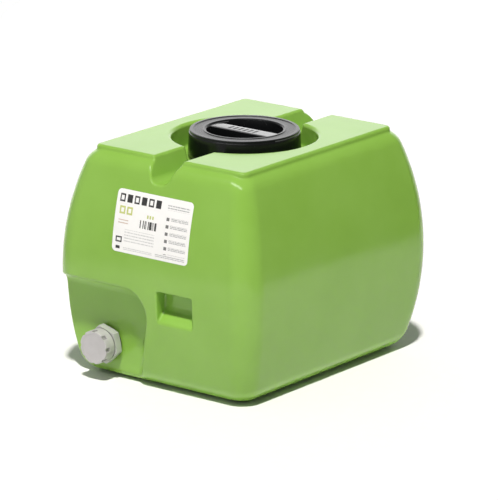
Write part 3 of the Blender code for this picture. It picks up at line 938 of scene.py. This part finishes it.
def makeBlack():
    # the grip bar's top has a painted sheen, a lighter grey colour and a coat standing in for the
    # reflection on it, between the ribs in its middle
    look = blackLook
    material, start = newMaterial("black_cap")
    fine = noise(start, place(start), look["grain scale"], 2.0)
    scuff = noise(start, place(start, look["scuff stretch"]), look["scuff scale"], 6.0, 0.7)
    spot = position(start)
    across, height = spot.other(1), spot.other(2)
    length, width = look["ribs half length"], look["ribs half width"]
    # painted sheen: this marks the grip bar's top, which is painted a lighter grey in place of its
    # reflection
    painted_sheen = within(height - (cap["top"] - cap["bar drop"]), *look["painted_sheen band"])
    painted_sheen = painted_sheen * within(across, -cap["bar width"], cap["bar width"])
    channel = within(height - cap["top"], *look["channel band"])
    ribs = repeated(spot, -length, look["rib pitch"], look["rib share"]) * within(spot, -length, length)
    ribs = ribs * within(across, -width, width) * painted_sheen
    mottled = (ramp(scuff, *look["mottle edge"]) + painted_sheen) * look["mottle share"]
    colour = mixColours(mottled, look["colour"], look["scuffed"])
    # the painted sheen: a lighter grey mixed in on the bar's top, between the ribs
    colour = mixColours((painted_sheen - ribs) * look["painted_sheen share"], colour, look["painted_sheen"])
    roughness = look["roughness"] + (fine - 0.5) * look["spread"] + channel * look["channel rough"]
    roughness = roughness + ramp(scuff, *look["scuff edge"]) * look["scuff rough"]
    roughness = roughness + ribs * look["rib rough"]
    looks = {
        "Base Color": colour, "Roughness": roughness, "Coat Weight": (painted_sheen - ribs) * look["painted_sheen coat"],
        "Normal": bump(ribs, look["rib height"], bump(fine, look["grain height"]))}
    return shade(start, material, looks, {"IOR": 1.5, "Specular IOR Level": 0.46, "Coat Roughness": 0.12})


# the darker colour here, with its least, spread and roughness, is a painted shade in the cap's notches and
# the seam
greyLook = {
    "darker": 0.90, "cloud scale": 45.0, "cloud edge": (0.3, 0.7), "grain scale": 700.0,
    "grain height": 0.00004, "spread": 0.12, "notch band": (-0.0032, -0.0003), "face clear": 0.0012,
    "seam band": (-0.0004, 0.0008), "seam reach": 0.0007, "painted_shade": (0.10, 0.10, 0.095, 1.0),
    "painted_shade least": 0.45, "painted_shade spread": 0.25, "painted_shade rough": 0.2}


def makeGrey(name, colour, roughness):
    # the cap's notches and the seam between cap and hexagon are painted darker, a painted shade
    look = greyLook
    material, start = newMaterial(name)
    fine = noise(start, place(start), look["grain scale"])
    cloud = noise(start, place(start), look["cloud scale"])
    patches = ramp(cloud, *look["cloud edge"])
    darker = tuple(c * look["darker"] for c in colour)
    tint = mixColours(patches, (*darker, 1.0), (*colour, 1.0))
    spot = position(start)
    along = -1.0 * spot.other(1)
    outside = length2(spot - drainX, spot.other(2) - drainZ) - drain["cap radius"]
    notchEnd = capEnd - drain["notch length"] - drain["notch end"]
    notches = within(outside, *look["notch band"]) * within(along, notchEnd, capEnd - look["face clear"])
    back, front = look["seam band"]
    seam = within(along, hexFront + back, capBack + front) * (outside < look["seam reach"])
    # painted shade: the notches and the seam between cap and hexagon are darkened where shade falls
    painted_shade = highest(notches, seam) * (look["painted_shade least"] + patches * look["painted_shade spread"])
    tint = mixColours(painted_shade, tint, look["painted_shade"])
    rough = roughness + (fine - 0.5) * look["spread"] + painted_shade * look["painted_shade rough"]
    looks = {"Base Color": tint, "Roughness": rough, "Normal": bump(fine, look["grain height"])}
    return shade(start, material, looks, {"IOR": 1.5})


rubberLook = {
    "colour": (0.016, 0.016, 0.017, 1.0), "bloom": (0.045, 0.044, 0.043, 1.0), "bloom scale": 80.0,
    "bloom edge": (0.4, 0.75), "bloom share": 0.6, "grain scale": 1100.0,
    "grain height": 0.00006, "roughness": 0.66, "spread": 0.2}


def makeRubber():
    look = rubberLook
    material, start = newMaterial("rubber")
    grain = noise(start, place(start), look["grain scale"], 4.0, 0.6)
    bloom = noise(start, place(start), look["bloom scale"], 4.0)
    bloom = ramp(bloom, *look["bloom edge"]) * look["bloom share"]
    tint = mixColours(bloom, look["colour"], look["bloom"])
    rough = look["roughness"] + (grain - 0.5) * look["spread"]
    looks = {"Base Color": tint, "Roughness": rough, "Normal": bump(grain, look["grain height"])}
    return shade(start, material, looks, {})


# generic blocks and bars only, in millimetres from the label's lower left corner
# a box is its left, right, bottom and top, and bars are their start, their pitch and the share that is ink
labelPrint = {
    "heading": (6.0, 88.0, 76.0, 88.0), "heading bars": (6.0, 14.0, 0.72), "hollow bars": (6.0, 28.0, 0.36),
    "hole": (78.5, 85.5), "hole bars": (8.2, 14.0, 0.40), "frame": (6.0, 18.0, 15.0, 24.0), "border": 2.2,
    "block": (7.0, 15.0, 5.0, 9.5), "dots": (99.5, 105.0, 10.0, 70.0), "dot bars": (6.0, 11.0, 0.45),
    "dot strength": 0.85, "rows": (108.0, 141.0, 10.0, 72.0), "row bars": (6.0, 11.0, 0.5),
    "row lines": (2.2, 0.6), "code": (49.0, 82.0, 42.0, 54.0), "code scale": 1.1, "code share": 0.49,
    "lime frames": ((8.0, 19.0, 58.0, 70.0), (22.0, 33.0, 58.0, 70.0)), "lime border": 2.8,
    "lime": (62.0, 76.0, 58.0, 63.0), "lime bars": (62.0, 5.0, 0.6),
    "rust": (8.0, 27.0, 44.0, 52.0), "rust bars": (44.0, 4.4, 0.3), "ink gaps": 0.44, "gap scale": 0.8,
    "line shift": 7.0, "roughness": 0.33, "spread": 0.08, "ink gloss": 0.05,
    "paper scale": 30.0, "grain scale": 1500.0, "grain height": 0.00002}
# grey blocks of broken lines: the box, the lines' pitch, the share that is ink, and its strength
greyLines = (
    ((22.0, 80.0, 16.0, 36.0), 4.4, 0.36, 0.6), ((99.0, 141.0, 77.0, 85.0), 3.6, 0.45, 1.0),
    ((84.0, 141.0, 3.5, 8.5), 2.4, 0.5, 1.0), ((22.0, 78.0, 4.5, 9.0), 2.4, 0.5, 0.6))
paper = ((0.90, 0.90, 0.885, 1.0), (0.93, 0.93, 0.915, 1.0))
# each ink's colour and how much of it covers the paper
inks = {
    "grey": ((0.25, 0.26, 0.27, 1.0), 0.8), "lime": ((0.50, 0.56, 0.12, 1.0), 0.9),
    "rust": ((0.48, 0.30, 0.20, 1.0), 0.8), "black": ((0.012, 0.012, 0.013, 1.0), 0.97)}


def inBox(a, b, box):
    left, right, bottom, top = box
    return within(a, left, right) * within(b, bottom, top)


def frameBox(a, b, box, border):
    left, right, bottom, top = box
    hole = (left + border, right - border, bottom + border, top - border)
    return inBox(a, b, box) * (1 - inBox(a, b, hole))


def makeLabelPrint():
    look = labelPrint
    material, start = newMaterial("label_print")
    spot = position(start)
    a = (spot - labelLow.x) * 1000.0
    b = (spot.other(2) - labelLow.z) * 1000.0

    def brokenLines(pitch, share):
        # each line has gaps of its own
        line = (b / pitch).math("FLOOR") * look["line shift"]
        where = start.node("ShaderNodeCombineXYZ", None, {0: a * look["gap scale"], 1: line, 2: 0.0})
        return (noise(start, where, 1.0, 1.0) > look["ink gaps"]) * repeated(b, 0.0, pitch, share)

    hollow = repeated(a, *look["hollow bars"]) * repeated(a, *look["hole bars"]) * within(b, *look["hole"])
    black = highest(
        inBox(a, b, look["heading"]) * repeated(a, *look["heading bars"]) * (1 - hollow),
        frameBox(a, b, look["frame"], look["border"]), inBox(a, b, look["block"]),
        inBox(a, b, look["dots"]) * repeated(b, *look["dot bars"]) * look["dot strength"])
    stripe = (a * look["code scale"]).math("FLOOR")
    steps = start.node("ShaderNodeCombineXYZ", None, {0: stripe, 1: 3.5, 2: 0.0})
    code = inBox(a, b, look["code"]) * (noise(start, steps, 0.9, 0.0) > look["code share"])
    grey = inBox(a, b, look["rows"]) * repeated(b, *look["row bars"]) * brokenLines(*look["row lines"])
    for box, pitch, share, strength in greyLines:
        grey = highest(grey, inBox(a, b, box) * brokenLines(pitch, share) * strength)
    lime = inBox(a, b, look["lime"]) * repeated(a, *look["lime bars"])
    for box in look["lime frames"]:
        lime = highest(lime, frameBox(a, b, box, look["lime border"]))
    rust = inBox(a, b, look["rust"]) * repeated(b, *look["rust bars"])

    colour = mixColours(noise(start, place(start), look["paper scale"], 2.0), *paper)
    printed = {"grey": grey, "lime": lime, "rust": rust, "black": highest(black, code)}
    for name, (ink, cover) in inks.items():
        colour = mixColours(printed[name] * cover, colour, ink)
    fine = noise(start, place(start), look["grain scale"], 2.0)
    rough = look["roughness"] + (fine - 0.5) * look["spread"] - black * look["ink gloss"]
    looks = {"Base Color": colour, "Roughness": rough, "Normal": bump(fine, look["grain height"])}
    return shade(start, material, looks, {"IOR": 1.5})


# the pieces
green = makeGreen()
black = makeBlack()
greySocket = makeGrey("grey_socket", (0.46, 0.475, 0.44), 0.30)
greyCap = makeGrey("grey_cap", (0.51, 0.495, 0.50), 0.33)
greyNut = makeGrey("grey_nut", (0.42, 0.42, 0.41), 0.48)
rubber = makeRubber()
print("materials made")

wear(makeShell(green), green, "tank", "tank_shell", slot="green_polyethylene")
makeNeck(green)
makeNeckThread(green)
print("tank made")
makeCap(black)
makeCapThread(black)
print("filler cap made")
makeSpout(greySocket)
makeHexagon(greySocket)
makeSpoutThread(greySocket)
makeDrainCap(greyCap)
makeDrainCapThread(greyCap)
print("drain made")
makeLabel(makeLabelPrint())
print("label made")
rings = ("fill_cap_gasket", "drain_socket_packing", "drain_lock_nut_packing", "drain_cap_packing")
for name, material in (*((ring, rubber) for ring in rings), ("drain_lock_nut", greyNut)):
    nodes[name].data.materials.clear()
    nodes[name].data.materials.append(material)
print("seals and lock nut dressed")

# floor, light and camera
studio = {
    "key direction": (0.25, -0.33, 0.91), "key strength": 3.75, "key angle": math.radians(4.0),
    "key colour": (1.0, 0.965, 0.93),
    "strip direction": (-0.05, -0.38, 0.91), "strip distance": 3.0, "strip length": 2.6,
    "strip width": 0.45, "strip power": 26.0,
    "floor half width": 0.973, "floor behind": 2.8, "floor before": 2.6, "floor corner": 0.3,
    "floor steps": 8, "floor turn": math.radians(26.6), "floor gap": 0.0005, "heading": math.radians(38.12),
    "dimmest": 0.09, "behind": 1.42, "behind edge": (0.55, 0.93), "behind top": (0.35, 0.6),
    "left": 0.30, "left edge": (0.1, 0.95), "above": 0.05, "above edge": (0.35, 1.0)}
view = {
    "elevation": math.radians(15.8865), "distance": 6.8011, "sensor": 36.0, "lens": 314.94,
    "shift": (0.01073, -0.00687)}


def makeFloor():
    # a long white table top that runs away from the camera
    wide, behind, before = studio["floor half width"], studio["floor behind"], studio["floor before"]
    corner, steps = studio["floor corner"], studio["floor steps"]
    maker = bmesh.new()
    ring = []
    middles = ((wide - corner, behind - corner), (corner - wide, behind - corner),
               (corner - wide, corner - before), (wide - corner, corner - before))
    for quarter, (across, along) in enumerate(middles):
        for step in range(steps + 1):
            angle = math.pi / 2 * (quarter + step / steps)
            x, y = across + corner * math.cos(angle), along + corner * math.sin(angle)
            ring.append(maker.verts.new((x, y, 0.0)))
    maker.faces.new(ring)
    floor = fromMaker("floor", maker)
    material, start = newMaterial("floor")
    speckle = noise(start, place(start), 60.0, 2.0)
    colour = mixColours(speckle, (0.84, 0.84, 0.84, 1.0), (0.87, 0.87, 0.87, 1.0))
    shade(start, material, {"Base Color": colour}, {"Roughness": 0.9})
    floor.data.materials.append(material)
    floor.location = (0.0, 0.0, cadLow.z - studio["floor gap"])
    floor.rotation_euler = (0.0, 0.0, studio["floor turn"])


def makeStudio():
    lamp = bpy.data.lights.new("key", "SUN")
    lamp.energy = studio["key strength"]
    lamp.angle = studio["key angle"]
    lamp.color = studio["key colour"]
    key = bpy.data.objects.new("key", lamp)
    # the key lights the surfaces, and a long strip alone makes the highlights
    softLamp = bpy.data.lights.new("strip", "AREA")
    softLamp.shape = "RECTANGLE"
    softLamp.size = studio["strip length"]
    softLamp.size_y = studio["strip width"]
    softLamp.energy = studio["strip power"]
    strip = bpy.data.objects.new("strip", softLamp)
    key.visible_glossy = False
    strip.visible_diffuse = False
    for light, direction in ((key, studio["key direction"]), (strip, studio["strip direction"])):
        light.location = Vector(direction) * studio["strip distance"]
        light.rotation_euler = Vector(direction).to_track_quat("Z", "Y").to_euler()
        bpy.context.scene.collection.objects.link(light)
    world = bpy.data.worlds.new("studio")
    bpy.context.scene.world = world
    world.use_nodes = True
    world.node_tree.nodes.clear()
    start = Link(world.node_tree)
    # the sky is bright low behind the tank and on its left, and dim elsewhere
    outwards = start.node("ShaderNodeTexCoord", out="Generated")
    east = start.node("ShaderNodeSeparateXYZ", None, {0: outwards})
    north, up = east.other(1), east.other(2)
    turn = studio["heading"]
    behind = north * math.cos(turn) - east * math.sin(turn)
    left = -1.0 * (east * math.sin(turn) + north * math.cos(turn))
    low = 1.0 - ramp(up, *studio["behind top"])
    bright = studio["dimmest"] + ramp(behind, *studio["behind edge"]) * low * studio["behind"]
    bright = bright + ramp(left, *studio["left edge"]) * studio["left"]
    bright = bright + ramp(up, *studio["above edge"]) * studio["above"]
    seen = start.node("ShaderNodeLightPath", out="Is Camera Ray")
    bright = bright * (1.0 - seen) + seen
    sky = start.node("ShaderNodeCombineColor", None, {0: bright, 1: bright, 2: bright})
    out = start.tree.nodes.new("ShaderNodeOutputWorld")
    start.tree.links.new(sky.node("ShaderNodeBackground", None, {0: sky}).socket, out.inputs[0])


def makeCamera():
    azimuth, elevation = studio["heading"], view["elevation"]
    east, north = math.sin(azimuth) * math.cos(elevation), -math.cos(azimuth) * math.cos(elevation)
    back = Vector((east, north, math.sin(elevation)))
    data = bpy.data.cameras.new("camera")
    data.sensor_width = view["sensor"]
    data.lens = view["lens"]
    data.shift_x, data.shift_y = view["shift"]
    camera = bpy.data.objects.new("camera", data)
    camera.location = Vector((0.0, 0.0, padTop / 2)) + back * view["distance"]
    camera.rotation_euler = (-back).to_track_quat("-Z", "Y").to_euler()
    bpy.context.scene.collection.objects.link(camera)
    bpy.context.scene.camera = camera


bpy.context.scene.view_settings.view_transform = "Standard"
makeFloor()
makeStudio()
makeCamera()
print("studio made")
